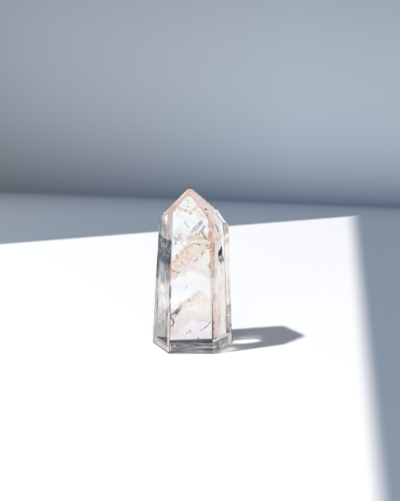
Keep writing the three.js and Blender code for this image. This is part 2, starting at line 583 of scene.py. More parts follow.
def paint_floor():
    n = Nodes("floor_paint")
    parts = n.add("ShaderNodeSeparateXYZ", {0: n.place()})
    x, y = parts.outputs["X"], parts.outputs["Y"]

    def plus(a, b, times):
        return n.math("ADD", a, n.math("MULTIPLY", b, times))

    def fade(at_left, at_right):
        """exp(-distance / reach), where the reach changes from left to right"""
        reach = n.math("ADD", n.math("MULTIPLY", to_right, at_right - at_left), at_left)
        return n.math("EXPONENT", n.math("MULTIPLY", n.math("DIVIDE", distance, reach), -1.0))

    # The sun's pool is the pale part between two straight edges; beyond them the shade is painted.
    behind = n.spread(plus(y, x, SHADE_BEHIND[0]), *SHADE_BEHIND[1:], kind="SMOOTHSTEP")
    right = n.spread(plus(x, y, SHADE_RIGHT[0]), *SHADE_RIGHT[1:], kind="SMOOTHSTEP")
    shade = n.math("MAXIMUM", behind, right)
    # Beyond a line behind the stone the flat floor is painted as a wall in shade, with painted shade darkest
    # in the corner between them.
    past_corner = n.math("SUBTRACT", plus(y, x, CORNER_SLOPE), CORNER_PLACE)
    distance = n.math("ABSOLUTE", past_corner)
    is_wall = n.math("GREATER_THAN", past_corner, 0.0)
    aside = n.math("DIVIDE", x, n.math("ADD", n.math("MULTIPLY", y, FAN_WIDENS), FAN_WIDTH))
    to_right = n.math("POWER", n.spread(aside, FAN_LEFT, FAN_RIGHT), FAN_CURVE)
    corner_shade = n.mix(to_right, CORNER_SHADE_LEFT, CORNER_SHADE_RIGHT)
    floor_shade_tone = n.mix(fade(*FLOOR_REACH), n.mix(to_right, FLOOR_SHADE_LEFT, FLOOR_SHADE_RIGHT), corner_shade)
    wall_shade_tone = n.mix(fade(*WALL_REACH), n.mix(to_right, WALL_SHADE_LEFT, WALL_SHADE_RIGHT), corner_shade)
    n.feed("Base Color", n.mix(shade, FLOOR_PALE, n.mix(is_wall, floor_shade_tone, wall_shade_tone)))
    n.set(Roughness=0.85, Specular_IOR_Level=0.1)
    return n.material


def add_floor():
    h = FLOOR_HALF * MM
    mesh = bpy.data.meshes.new("floor")
    mesh.from_pydata([(-h, -h, 0), (h, -h, 0), (h, h, 0), (-h, h, 0)], [], [(0, 1, 2, 3)])
    mesh.materials.append(paint_floor())
    floor = bpy.data.objects.new("floor", mesh)
    floor.location.z = FLOOR_Z * MM
    bpy.context.scene.collection.objects.link(floor)
    floor.cycles.is_caustics_receiver = True


def add_stone():
    """The solid's mesh with its points joined and its round edges shaded smooth"""
    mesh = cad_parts["crystal"].data.copy()
    mesh.name = "quartz_stone"
    build = bmesh.new()
    build.from_mesh(mesh)
    bmesh.ops.remove_doubles(build, verts=build.verts, dist=SAME_POINT)
    for face in build.faces:
        face.smooth = True
    build.to_mesh(mesh)
    build.free()
    mesh.materials.clear()
    stone = add_piece("quartz_stone", mesh, paint_clear_quartz())
    weighted = stone.modifiers.new("face_normals", "WEIGHTED_NORMAL")
    weighted.mode = "FACE_AREA"
    weighted.weight = 100
    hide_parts("crystal")
    stone.cycles.is_caustics_caster = True


# What is inside the stone: the faces that films lie under, and the colours by tone
FRONT = face_plane(-0.5, 2.0)
LEFT = face_plane(302.1, 2.4)
RIGHT = face_plane(48.0, 2.0)
TIP_FRONT = face_plane(-2.1, 28.3)
SHOULDER_LEFT = face_plane(300.9, 4.6)
SHOULDER_RIGHT = face_plane(46.7, 13.7)

RUST = paint_specks("rust_grain", [
    (0.10, (0.86, 0.46, 0.22)), (0.45, (0.52, 0.22, 0.12)), (0.85, (0.20, 0.09, 0.06))])
DARK = paint_specks("dark_grain", [
    (0.10, (0.30, 0.30, 0.29)), (0.50, (0.09, 0.095, 0.095)), (0.90, (0.02, 0.02, 0.022))], 0.4)
SMOKE = paint_specks("smoky_sliver", [
    (0.10, (0.90, 0.90, 0.91)), (0.35, (0.60, 0.60, 0.63)), (0.85, (0.07, 0.08, 0.11))], 0.35)
DUST = paint_specks("peach_dust", [
    (0.10, (1.0, 0.84, 0.74)), (0.45, (0.98, 0.70, 0.55)), (0.75, (0.88, 0.48, 0.32)),
    (0.95, (0.55, 0.25, 0.16))])
# Painted glint: the colour of a star of grains that stands for a glint
GLINT_GOLD = paint_specks("painted_glint_gold", [(0.2, (0.98, 0.70, 0.28)), (0.8, (0.90, 0.50, 0.12))], 0.3)
SILVER = paint_silver()
SMOKY_TINT = paint_veil("smoky_tint", [
    (0.0, (0.86, 0.82, 0.80)), (0.5, (0.68, 0.62, 0.62)), (1.0, (0.36, 0.33, 0.34))], contrast=0.5)
PEACH_TINT = paint_veil("peach_tint", [
    (0.0, (0.95, 0.92, 0.89)), (0.35, (0.91, 0.82, 0.73)), (0.65, (0.88, 0.72, 0.60)),
    (1.0, (0.78, 0.56, 0.42))])
COOL_TINT = paint_veil("cool_tint", [
    (0.0, (0.90, 0.92, 0.85)), (0.5, (0.94, 0.92, 0.97)), (1.0, (0.88, 0.80, 0.86))], grain=400.0)
STREAK_TINT = paint_veil("streak_tint", [
    (0.0, (0.93, 0.92, 0.91)), (0.4, (0.87, 0.82, 0.78)), (0.75, (0.86, 0.66, 0.54)),
    (1.0, (0.30, 0.26, 0.32))],
    grain=1500.0, stretch=(1, 1, 0.07), contrast=0.8)
STAIN_TINT = paint_veil("stain_tint", [
    (0.0, (0.93, 0.86, 0.82)), (0.4, (0.88, 0.72, 0.63)), (0.7, (0.86, 0.50, 0.33)),
    (1.0, (0.42, 0.28, 0.28))])
PINK_FILM = paint_veil("pink_film", [
    (0.0, (1.0, 1.0, 0.99)), (0.35, (1.0, 0.89, 0.83)), (0.6, (1.0, 0.72, 0.62)), (0.8, (0.95, 0.55, 0.38)),
    (1.0, (0.42, 0.22, 0.14))], clear=False, grain=700.0, contrast=0.4)
# Painted shade: a clear tint from navy to white, for the shade around the stone that its left side shows
PAINTED_SHADE_TINT = paint_veil("painted_shade_tint", [
    (0.0, (0.02, 0.028, 0.045)), (0.2, (0.07, 0.09, 0.14)), (0.35, (0.19, 0.215, 0.25)),
    (0.5, (0.36, 0.385, 0.41)), (0.75, (0.74, 0.70, 0.66)), (1.0, (1.0, 0.99, 0.98))],
    grain=800.0, contrast=0.5, stretch=(1, 1, 0.35), turn=(0.0, 0.5, 0.3))
MILKY_FILM = paint_veil("milky_film", [
    (0.0, (0.05, 0.055, 0.08)), (0.4, (0.32, 0.30, 0.30)), (0.7, (0.80, 0.76, 0.74)),
    (1.0, (1.0, 0.96, 0.94))], clear=False, grain=900.0, contrast=0.5, stretch=(1, 1, 0.3))
# Painted reflection: the dark surroundings that the stone reflects just above its foot
FOOT_REFLECTION_FILM = paint_veil("foot_reflection_film", [
    (0.0, (0.02, 0.03, 0.07)), (0.3, (0.10, 0.11, 0.16)), (0.5, (0.30, 0.28, 0.29)),
    (0.7, (0.66, 0.62, 0.62)), (1.0, (1.0, 0.93, 0.88))],
    clear=False, grain=1100.0, stretch=(0.12, 0.3, 1), contrast=1.5)

# Growth films lean back as the front tip face does.
GROWTH_LEAN = 0.538


def growth_film(name, material, x0, x1, z0, z1, through, look, **settings):
    """A film that leans back like the tip's front face and passes through a height at y = 0"""
    start = Vector((x0, (z0 - through) * GROWTH_LEAN, z0))
    rise = Vector((0, (z1 - z0) * GROWTH_LEAN, z1 - z0))
    add_film(name, material, start, (x1 - x0, 0, 0), rise, look, **settings)


def face_axes(face):
    """A face's own directions: to the right, and up along it"""
    side = Vector((0, 0, 1)).cross(face[0]).normalized()
    return side, face[0].cross(side).normalized()


def face_film(name, material, face, below, s0, s1, z0, z1, look, **settings):
    """A film just below a face. Its look depends on the place along the face and the height."""
    normal, reach = face
    side, rise = face_axes(face)
    base = normal * (reach - below)
    base -= rise * (base.z / rise.z)
    corner_shade = base + side * s0 + rise * (z0 / rise.z)
    settings.setdefault("rumple", 0.12)
    add_film(name, material, corner_shade, side * (s1 - s0), rise * ((z1 - z0) / rise.z),
             lambda p: look(side.dot(p), p.z), **settings)


def on_growth(rng, count, x0, x1, z0, z1, through, look, size, tone, scatter=0.4):
    """Specks near a growth film, more where it covers more"""
    specks, tries = [], 0
    flat = (0, -1, GROWTH_LEAN)
    while len(specks) < count and tries < count * 60:
        tries += 1
        z = rng.uniform(z0, z1)
        p = Vector((rng.uniform(x0, x1), (z - through) * GROWTH_LEAN + rng.gauss(0, scatter), z))
        if rng.random() < look(p)[0] and depth_inside(p) > 0.4:
            specks.append(one_speck(rng, p, size, flat, None, tone, 0.6))
    return specks


def under(face, s, z, below):
    """The point at a place along a face and a height, that far below the face"""
    normal, reach = face
    side, rise = face_axes(face)
    point = normal * (reach - below) + side * s
    return point + rise * ((z - point.z) / rise.z)


def blob(x, z, centre, size, soft=0.6):
    """1 in the middle of an oval, 0 outside it"""
    return smooth(1.0, 1.0 - soft, math.hypot((x - centre[0]) / size[0], (z - centre[1]) / size[1]))


def along(value, stops):
    """A value between stops given as (at, result), in rising order"""
    for (a, low), (b, high) in zip(stops, stops[1:]):
        if value <= b:
            return low + (high - low) * clamp((value - a) / (b - a))
    return stops[-1][1]


# The heights that the upper and the lower growth film pass through at y = 0, and, by x, the heights of the
# upper one's lower border, the lower one's top and the white in the lower one's middle
UPPER_THROUGH = 50.1
LOWER_THROUGH = 22.4
WHITE_V = [(-12, 31.2), (-9.7, 32.4), (-3.2, 35.9), (-1.0, 36.7), (3.3, 36.3), (6.3, 33.8), (8.5, 28.9)]
CHEVRON_TOP = [(-12.5, 12.5), (-10.5, 14.0), (-5.0, 20.8), (3.0, 26.3), (6.8, 24.2), (8.2, 22.6), (11, 16.0)]
WHITE_CORE = [(-12.5, 5.0), (-7.0, 8.6), (0.2, 15.0), (2.6, 13.0), (8.5, 11.5), (11, 10.5)]


def upper_look(p):
    """Peach, browner in two places, with a seam along its upper left border"""
    x, z = p.x, p.z
    rough = waver(p, 0.45, 3)
    above = smooth(0.0, 1.3, z - along(x, WHITE_V) + 0.8 * rough)
    wisps = smooth(-0.6, 1.6, z - (47.2 + 0.97 * (x + 2.3)) + 1.6 * rough) * smooth(-1.0, -3.2, x)
    green = smooth(-0.4, 0.8, 43.0 + 0.69 * (x - 1.35) - z) * smooth(1.2, 3.4, x)
    lilac = blob(x, z, (0.5, 39.1), (3.4, 3.6), 0.7)
    brown = blob(x, z, (-2.4, 43.2), (4.0, 4.2), 0.9) + 0.8 * blob(x, z, (-7.5, 38.5), (3.0, 4.0), 0.9)
    cover = above * (1 - 0.9 * wisps) * (1 - 0.85 * green) * (1 - 0.8 * lilac)
    seam = smooth(0.7, 0.1, abs(z - (46.9 + 0.97 * (x + 2.3)) + 1.6 * rough)) * smooth(-0.5, -2.5, x)
    tone = 0.45 + 0.30 * brown + 0.25 * rough + 0.3 * seam
    return (cover + 0.5 * seam) * smooth(50.5, 49.0, z), clamp(tone)


def cool_look(p):
    """Faint green at the upper right, lilac in the middle"""
    x, z = p.x, p.z
    above = smooth(0.0, 1.3, z - along(x, WHITE_V))
    green = smooth(-0.4, 0.8, 43.0 + 0.69 * (x - 1.35) - z) * smooth(1.2, 3.4, x)
    lilac = blob(x, z, (0.5, 39.3), (3.4, 3.8), 0.7)
    return above * max(green, lilac), 0.1 + 0.85 * lilac


def lower_look(p):
    """A peach chevron, strongest in its left arm, with a white middle"""
    x, z = p.x, p.z
    rough = waver(p, 0.5, 5)
    drop = along(x, CHEVRON_TOP) - z
    core = smooth(-0.8, 1.6, along(x, WHITE_CORE) - z + 0.6 * rough)
    arm = smooth(5.5, 0.5, drop) * smooth(4.5, 1.5, x)
    cover = smooth(0.0, 0.45, drop) * (1 - core) * (0.65 + 0.35 * arm)
    return cover, clamp(0.33 + 0.18 * arm + 0.25 * rough)


def low_lilac_look(p):
    return smooth(18, 13, p.z) * smooth(1.0, 4.0, p.z), 0.5 + 0.3 * smooth(12, 6, p.z)


def pale_look(p):
    rough = waver(p, 0.4, 28)
    ends = smooth(37.0, 35.0, p.z) * smooth(24.0, 30.0, p.z)
    return (0.75 + 0.5 * rough) * smooth(-12.0, -9.5, p.x) * ends, 0.32 + 0.2 * rough


def add_growth_films():
    growth_film("peach_film_upper", PEACH_TINT, -13, 10, 28, 51, UPPER_THROUGH, upper_look, rumple=0.8)
    growth_film("cool_film_middle", COOL_TINT, -4, 10, 34, 50, UPPER_THROUGH - 1.6, cool_look, rumple=0.6)
    growth_film("peach_film_lower", PEACH_TINT, -13, 11, 6, 27.5, LOWER_THROUGH, lower_look, rumple=0.25)
    growth_film("pale_film_middle", COOL_TINT, -12, 9, 23.5, 37, 39.3, pale_look, rumple=0.5)
    growth_film("lilac_film_low", COOL_TINT, -11, 11, 2, 19, 20.0, low_lilac_look, rumple=0.4)
    rng = random.Random(21)
    specks = on_growth(rng, 420, -13, 9, 29, 50, UPPER_THROUGH, upper_look, (0.17, 0.12, 0.06), 0.30, 0.9)
    specks += on_growth(rng, 200, -12, 11, 8, 28, LOWER_THROUGH, lower_look, (0.16, 0.11, 0.06), 0.25)
    add_specks("peach_dust_films", DUST, specks, 22)


# The clear middle of the tip: its left and right border by height, along the front tip face
HOUSE_LEFT = [(49.0, -9.7), (53.3, -9.5), (58.9, -8.7), (62.0, -7.6), (64.5, -6.0), (65.4, -4.9),
              (67.4, -2.8), (68.1, -0.9)]
HOUSE_RIGHT = [(49.0, 7.2), (58.9, 7.1), (61.1, 5.9), (62.3, 4.8), (63.8, 3.4), (65.3, 2.1), (67.4, 0.3),
               (68.1, -0.9)]
TIP_EDGE_LEFT = [(51.5, -9.1), (61.8, -11.8), (71.1, -1.1)]
TIP_EDGE_RIGHT = [(51.8, 8.5), (63.4, 10.3), (71.1, -1.1)]
# Above this height, by place along the face, the bands beside the clear middle are milky.
MILKY_FROM = [(-12.5, 61.0), (-10.1, 61.3), (-8.2, 62.3), (-1.3, 69.2), (-0.9, 68.8), (8.4, 58.2),
              (9.4, 57.3), (11.2, 57.6)]
# Pink smudges across the clear middle: lines of (place along the face, height), width and strength
GARLANDS = [
    ([(-6.4, 64.5), (-5.1, 62.6), (-2.6, 62.1), (-0.5, 61.5), (0.8, 62.6), (2.2, 63.7)], 0.75, 1.0),
    ([(2.0, 61.9), (4.6, 60.8), (6.7, 59.3)], 0.6, 0.6),
    ([(-7.6, 61.5), (-5.1, 60.0)], 0.7, 0.55),
    ([(-3.6, 67.0), (-1.3, 65.2)], 0.7, 0.6),
    ([(-3.0, 64.8), (-0.9, 64.0)], 0.5, 0.5),
]


def tip_look(s, z):
    """How far a place is in the pink bands, how milky it is there, and its tone, paler along the tip's edges
    as a painted highlight
    """
    rough = waver((s, 0, z), 0.8, 9)
    out = 0.6 if z > HOUSE_LEFT[-1][0] else max(along(z, HOUSE_LEFT) - s, s - along(z, HOUSE_RIGHT))
    band = smooth(-0.4, 0.3, out + 0.3 * rough)
    milky = smooth(-0.15, 0.3, z - along(s, MILKY_FROM))
    from_edge = min(s - along(z, TIP_EDGE_LEFT), along(z, TIP_EDGE_RIGHT) - s)
    rim_highlight = smooth(0.75, 0.3, from_edge) * smooth(57, 60, z)
    lines = max(smooth(1.2, 0.4, abs(out - 0.5)), 0.7 * smooth(0.55, 0.15, abs(from_edge - 1.5)))
    orange = smooth(6.0, 7.0, s) * smooth(60.8, 57.5, z)
    spots = blob(s, z, (8.1, 53.4), (1.3, 2.0)) + 0.6 * blob(s, z, (9.6, 57.4), (0.9, 2.0)) \
        + 0.6 * blob(s, z, (8.4, 50.8), (1.2, 1.2))
    pale = blob(s, z, (7.9, 55.8), (0.9, 1.0))
    tone = 0.33 + 0.24 * lines * (1 - orange) + 0.16 * rough + 0.22 * orange + 0.24 * spots - 0.5 * pale
    # Paler along the tip's two upper edges: painted highlight.
    tone -= 0.3 * rim_highlight
    return band, milky, clamp(tone)


def milky_band_look(s, z):
    """Pink bands beside the clear middle of the tip, milky above, and their outer left end clear; the pink is
    the stone's, their brightness is painted reflection
    """
    band, milky, tone = tip_look(s, z)
    white = smooth(-10.0, -10.6, s) * smooth(56, 58, z)
    low = 0.65 - 0.1 * smooth(7.0, 8.0, s)
    return band * max(1.8 * milky, low * (1 - white)), tone


def tip_strip_look(s, z):
    """The pale peach strip above the tip's lower border, and soft pink smudges higher up"""
    rough = waver((s, 5, z), 0.6, 11)
    strip = smooth(-3.5, -0.5, s) * smooth(7.6, 6.8, s) * smooth(54.9, 53.9, z + 0.4 * rough)
    strip *= smooth(51.0, 51.6, z)
    smudge = 0.0
    for line, wide, strength in GARLANDS:
        far = min(near_line((s, z, 0), (*a, 0), (*b, 0)) for a, b in zip(line, line[1:]))
        smudge = max(smudge, strength * smooth(wide * 1.5, 0.0, far + 0.8 * rough))
    faint = 0.35 * smooth(0.15, 0.7, rough)
    return max(0.5 * strip, 0.95 * smudge, faint), 0.35 + 0.34 * smudge + 0.3 * rough


def swirl_look(s, z):
    """A smoky ring with a tail, low on the left of the tip"""
    rough = waver((s, 9, z), 0.7, 19)
    far = math.hypot(s + 6.1, (z - 52.3) * 1.15)
    ring = smooth(0.75, 0.1, abs(far - 1.25 + 0.5 * rough)) * (0.45 + 0.55 * smooth(-7.5, -5.2, s))
    tail = smooth(0.7, 0.1, abs(s + 6.4 + 0.5 * rough)) * smooth(51.5, 50.6, z) * smooth(47.5, 49.0, z)
    outer = 0.4 * smooth(0.5, 0.1, abs(far - 2.6 + 0.6 * rough)) * smooth(52.0, 53.5, z)
    return min(1.0, max(ring, tail, outer)), 0.45 + 0.4 * rough


def add_tip_films():
    # The pink tint is the stone's own; the film's brightness stands for light that the tip reflects inside:
    # painted reflection.
    face_film("pink_film_and_reflection_tip", PINK_FILM, TIP_FRONT, 0.45, -13, 12, 49, 70.7, milky_band_look,
              cell=0.3, rumple=0.0, margin=0.14)
    face_film("peach_marks_tip", PEACH_TINT, TIP_FRONT, 1.6, -9, 8, 50.5, 67, tip_strip_look, rumple=0.2)
    face_film("smoky_swirl_tip", SMOKY_TINT, TIP_FRONT, 1.3, -10, -2, 49.5, 56, swirl_look, cell=0.25,
              rumple=0.1)


# How finely the flat films along the stone's edges and its borders are built
EDGE = {"cell": 0.25, "rumple": 0.0}
BORDER = {"cell": 0.3, "rumple": 0.0, "margin": 0.1}


def edge_stain_look(s, z):
    """Iron stain down the right front edge: orange at the top, pale below, and dark at the foot"""
    tone = along(z, [(6, 0.95), (15.5, 0.95), (17.5, 0.30), (27, 0.42), (34, 0.25), (37, 0.5), (47, 0.62),
                     (50, 0.7)])
    cover = along(z, [(6.5, 0.0), (8.5, 0.75), (15.5, 0.6), (17.5, 0.45), (27, 0.75), (31, 0.5), (36, 0.9),
                      (50, 1.0)])
    rough = waver((s, 0, z * 0.6), 0.9, 15)
    patch = waver((s, 3, z), 1.5, 26)
    return cover * (1 + 0.5 * rough + 0.5 * patch), clamp(tone + 0.25 * rough + 0.35 * patch)


def add_edge_stains():
    def front_part(s, z):
        cover, tone = edge_stain_look(s, z)
        inner = along(z, [(8, 8.2), (18, 8.1), (36, 7.7), (50, 7.4)])
        cover *= 1 - 0.6 * smooth(19, 16, z)
        return cover * smooth(inner - 0.2, inner + 0.3, s), max(0.0, tone - 0.55 * smooth(17, 15, z))

    def right_part(s, z):
        cover, tone = edge_stain_look(s, z)
        outer = along(z, [(8, -1.5), (18, -1.2), (31, -0.6), (50, 0.0)])
        return cover * smooth(outer + 0.3, outer - 0.2, s), tone

    face_film("edge_stain_front", STAIN_TINT, FRONT, 0.45, 6.5, 9, 6, 50.5, front_part, **EDGE)
    face_film("edge_stain_right", STAIN_TINT, RIGHT, 0.45, -3, 1.2, 6, 50.5, right_part, **EDGE)

    def left_part(s, z):
        rough = waver((s, 3, z * 0.7), 0.9, 16)
        cover = along(z, [(6, 0.3), (33, 0.3), (35, 0.9), (40, 0.8), (42, 0.1), (49, 0.05)])
        tone = along(z, [(6, 0.2), (33, 0.3), (35, 0.5), (37, 0.6), (40, 0.5), (42, 0.2), (49, 0.2)])
        return cover * (1 + 0.5 * rough), clamp(tone + 0.3 * rough)

    # A pale line along the front-left edge stands for light the edge shows: painted highlight.
    face_film("edge_highlight_left", PINK_FILM, FRONT, 0.35, -10.5, -9.8, 4, 31, lambda s, z: (1.0, 0.25),
              margin=0.1, **EDGE)
    face_film("edge_stain_left", STAIN_TINT, FRONT, 0.4, -10.4, -9.2, 6, 50, left_part, **EDGE)


def left_shade_look(s, z):
    """Painted shade seen through the left face: navy and streaked above, slate grey below that, then clear
    and mottled, and plain grey near the foot
    """
    rough = waver((s, 2, z * 0.5), 0.45, 4)
    fine = waver((s * 1.5 + z * 0.9, 4, z * 0.3), 1.1, 6)
    cover = along(z, [(1.0, 1.0), (10.5, 1.0), (14, 0.75), (20, 0.8), (23, 0.75), (28.5, 0.6), (31.0, 1.0),
                      (36, 1.6)])
    cover *= 1 - smooth(2.5, 3.1, s) * smooth(30, 33, z)
    tone = along(z, [(0.8, 0.98), (2.2, 0.9), (2.9, 0.66), (10, 0.62), (12, 0.76), (16, 0.79), (29, 0.82),
                     (31.5, 0.62), (34.5, 0.48), (39.0, 0.52), (40.8, 0.22), (44, 0.19), (52, 0.22)])
    brown_edge = smooth(1.2, 2.2, s) * smooth(31, 28, z)
    dark_spot = blob(s, z, (1.8, 42.0), (1.6, 2.2), 0.8)
    light_streak = smooth(0.15, 0.6, fine) * smooth(44, 48, z) * smooth(-7, 0, s)
    warm_streak = smooth(0.0, 0.5, fine) * smooth(17, 20, z) * smooth(30, 27, z) * smooth(-4, -6, s)
    tone += 0.22 * rough * smooth(0.0, 3.0, abs(z - 6)) + 0.12 * fine + 0.4 * light_streak - 0.3 * dark_spot
    tone = tone - 0.12 * warm_streak - 0.1 * brown_edge
    return cover + 0.5 * warm_streak + 0.1 * brown_edge, clamp(tone)


def left_shoulder_shade_look(s, z):
    """Pale streaks, with navy painted shade below a slanting line"""
    fine = waver((s * 1.5 + z * 0.9, 4, z * 0.3), 1.1, 7)
    navy_shade = smooth(-0.8, 0.8, 52.3 - 0.39 * (s + 6.4) - z)
    white = smooth(55.5, 57.5, z)
    tone = 0.82 + 0.45 * fine - 0.46 * navy_shade + 0.1 * white
    return 1.1 - 0.3 * smooth(53, 55, z) - 0.5 * white, clamp(tone)


def left_top_look(s, z):
    """Milky white where the left shoulder meets the tip"""
    return 1.3 * smooth(58.0, 59.0, z + 0.25 * (s + 5.0)), 1.0


def left_border_look(s, z):
    """Milky white along the rear border and low on the front one, and a pale foot, painted reflection of the
    foot's bevel, with a brown band
    """
    rough = waver((s, 2, z * 0.5), 0.6, 24)
    strip = smooth(-5.8, -6.3, s + 0.3 * rough) * smooth(32.0, 30.5, z)
    front = smooth(2.6, 3.1, s + 0.2 * rough) * smooth(21, 18, z)
    # The pale foot line is painted reflection of the bevel.
    foot = smooth(4.3, 3.8, z)
    brown = smooth(0.7, 0.2, abs(z - 3.3)) * smooth(-7.5, -6.0, s)
    tone = 0.95 + 0.15 * rough - 0.22 * smooth(14, 8, z) + 0.12 * foot - 0.35 * brown
    return 1.4 * max(strip, foot, front), clamp(tone + 0.2 * front)


def add_left_films():
    face_film("milky_border_left", MILKY_FILM, LEFT, 0.7, -11, 4.2, 0.8, 33, left_border_look, cell=0.3,
              margin=0.1)
    # A dark tint under the left face and its shoulder stands in for the shade around the stone seen through
    # them: painted shade.
    face_film("painted_shade_left", PAINTED_SHADE_TINT, LEFT, 1.0, -11, 4, 0.8, 51, left_shade_look, cell=0.35)
    face_film("painted_shade_shoulder", PAINTED_SHADE_TINT, SHOULDER_LEFT, 0.8, -11, 4, 49.5, 62, left_shoulder_shade_look,
              cell=0.35)
    face_film("milky_patch_shoulder", MILKY_FILM, SHOULDER_LEFT, 0.3, -7, -1.5, 57, 62, left_top_look,
              **BORDER)
    rng = random.Random(41)
    slivers = on_face(rng, 160, LEFT, ((-18, -12, 34), (-6, 2, 60)), lambda p: smooth(40, 50, p.z),
                      (1.2, 0.09, 0.05), (0.3, 0.7), (0.35, -0.2, -0.9), 0.15)
    add_specks("smoky_slivers_left", SMOKE, slivers, 42)


def right_look(s, z):
    """Fine upright streaks, beige low down, pink and orange at the right border"""
    rough = waver((s, 6, z * 0.25), 0.7, 17)
    border = smooth(6.6, 8.0, s + 0.03 * (z - 25))
    beige = smooth(33, 27, z)
    spots = blob(s, z, (9.7, 19.5), (1.2, 3.8)) + 0.9 * blob(s, z, (7.8, 48.5), (1.2, 3.0)) \
        + 0.6 * blob(s, z, (8.9, 38), (0.8, 5.0)) + 0.6 * blob(s, z, (9.6, 27), (0.7, 3.0))
    purple = blob(s, z, (9.6, 7.3), (0.9, 1.9), 0.5)
    tone = 0.22 + 0.18 * beige + 0.05 * border + 0.3 * spots + 0.25 * rough + 0.9 * purple
    cover = 0.8 + 0.2 * beige - 0.2 * border + 0.4 * rough + 0.4 * spots + purple
    cover *= 1 - 0.6 * border * smooth(24, 20, z)
    return clamp(cover), clamp(tone)


def right_shoulder_look(s, z):
    """Warm near the front edge, with orange spots and an upright streak"""
    rough = waver((s * 1.6, 8, z * 0.3), 0.8, 18)
    warm = smooth(5.4, 3.8, s + 0.25 * (z - 54))
    spots = blob(s, z, (2.9, 56.4), (0.8, 1.3)) + 0.7 * blob(s, z, (4.0, 52.0), (0.9, 0.9))
    border = smooth(7.0, 8.0, s)
    streak = smooth(0.8, 0.2, abs(s - 5.0)) * smooth(55.0, 56.5, z)
    tone = 0.10 + 0.42 * warm + 0.3 * spots + 0.08 * border + 0.25 * rough + 0.35 * streak
    return 0.7 + 0.5 * warm - 0.2 * border + 0.4 * rough + 0.4 * streak, clamp(tone)


def right_border_look(s, z):
    """Iron stain along the rear border of the right face, orange in two places"""
    rough = waver((s, 4, z * 0.5), 0.9, 25)
    strip = smooth(8.3, 9.0, s + 0.3 * rough)
    cover = along(z, [(10, 0.0), (14, 0.3), (17, 0.6), (27, 0.7), (30, 0.4), (42, 0.5), (45, 0.8), (50, 0.8)])
    tone = along(z, [(14, 0.3), (17, 0.5), (20, 0.62), (24, 0.6), (27, 0.35), (30, 0.2), (42, 0.25),
                     (46, 0.5), (50, 0.5)])
    return cover * strip * (1 + 0.5 * rough), clamp(tone + 0.2 * rough)


def right_corner_highlight_look(s, z):
    """Painted highlight: milky white low in that border"""
    rough = waver((s, 4, z), 0.7, 27)
    inner = along(z, [(1, 7.4), (5, 7.6), (6, 8.6), (9, 8.6)])
    purple = smooth(9.2, 9.6, s) * smooth(5.0, 6.0, z)
    return 1.4 * smooth(inner - 0.2, inner + 0.4, s + 0.3 * rough) * smooth(10.3, 9.3, z), 1.0 - 0.5 * purple


def add_right_films():
    face_film("stained_border_right", STAIN_TINT, RIGHT, 0.5, 7.5, 11, 9, 50, right_border_look, **BORDER)
    # A white film low in the right face's border stands for a highlight: painted highlight.
    face_film("painted_highlight_corner_right", MILKY_FILM, RIGHT, 0.6, 6.5, 11, 0.8, 11, right_corner_highlight_look, **BORDER)
    face_film("streaked_film_right", STREAK_TINT, RIGHT, 1.2, -2, 11, 1.5, 50, right_look, cell=0.35)
    face_film("pale_film_shoulder", STREAK_TINT, SHOULDER_RIGHT, 0.7, -1, 10, 50.5, 63, right_shoulder_look,
              cell=0.35)


def foot_reflection_look(s, z):
    """Painted reflection of the dark surroundings just above the foot: dark level streaks, with a navy line
    on top, cooler to the left
    """
    cool = smooth(4, -6, s)
    tone = 0.49 - 0.14 * cool * smooth(1.5, 4.5, z) - 0.08 * smooth(-4, 0, s) * smooth(3.2, 2.0, z) \
        - 0.24 * smooth(4.5, 5.2, z)
    warm_end = smooth(-9.5, -9.9, s)
    return 1.1, clamp(tone + 0.4 * warm_end)


def foot_right_reflection_look(s, z):
    """Paler there, with a brown patch near the front edge and a painted highlight at the right end"""
    brown = blob(s, z, (0.8, 1.6), (1.6, 0.9), 0.8)
    # Lighter at the right end: painted highlight.
    white = smooth(6.5, 8.0, s)
    above = smooth(4.9, 5.3, z)
    tone = 0.66 - 0.2 * brown + 0.3 * white - 0.2 * smooth(4.0, 4.7, z) + 0.5 * above
    return 1.1 + 0.2 * above, min(1.0, tone)


def add_foot_films():
    face_film("painted_foot_reflection", FOOT_REFLECTION_FILM, FRONT, 0.9, -10.5, 9, 0.5, 6.1, foot_reflection_look, **BORDER)
    face_film("painted_foot_reflection_right", FOOT_REFLECTION_FILM, RIGHT, 0.9, -2, 10.5, 0.5, 6.4, foot_right_reflection_look, **BORDER)


def wisp_look(p):
    """Pale fibres at the upper left"""
    fibre = cloud((p.x * 1.6 + p.z * 0.5, p.y, p.z * 0.5), 0.5, 8)
    near = smooth(7.0, 3.0, math.hypot(p.x + 5.5, (p.z - 46) * 0.7))
    return 0.8 * smooth(0.45, 0.65, fibre) * near, 0.55


def add_wisps():
    growth_film("pale_wisps", COOL_TINT, -12, 2, 37, 54, 53.5, wisp_look, rumple=0.8)


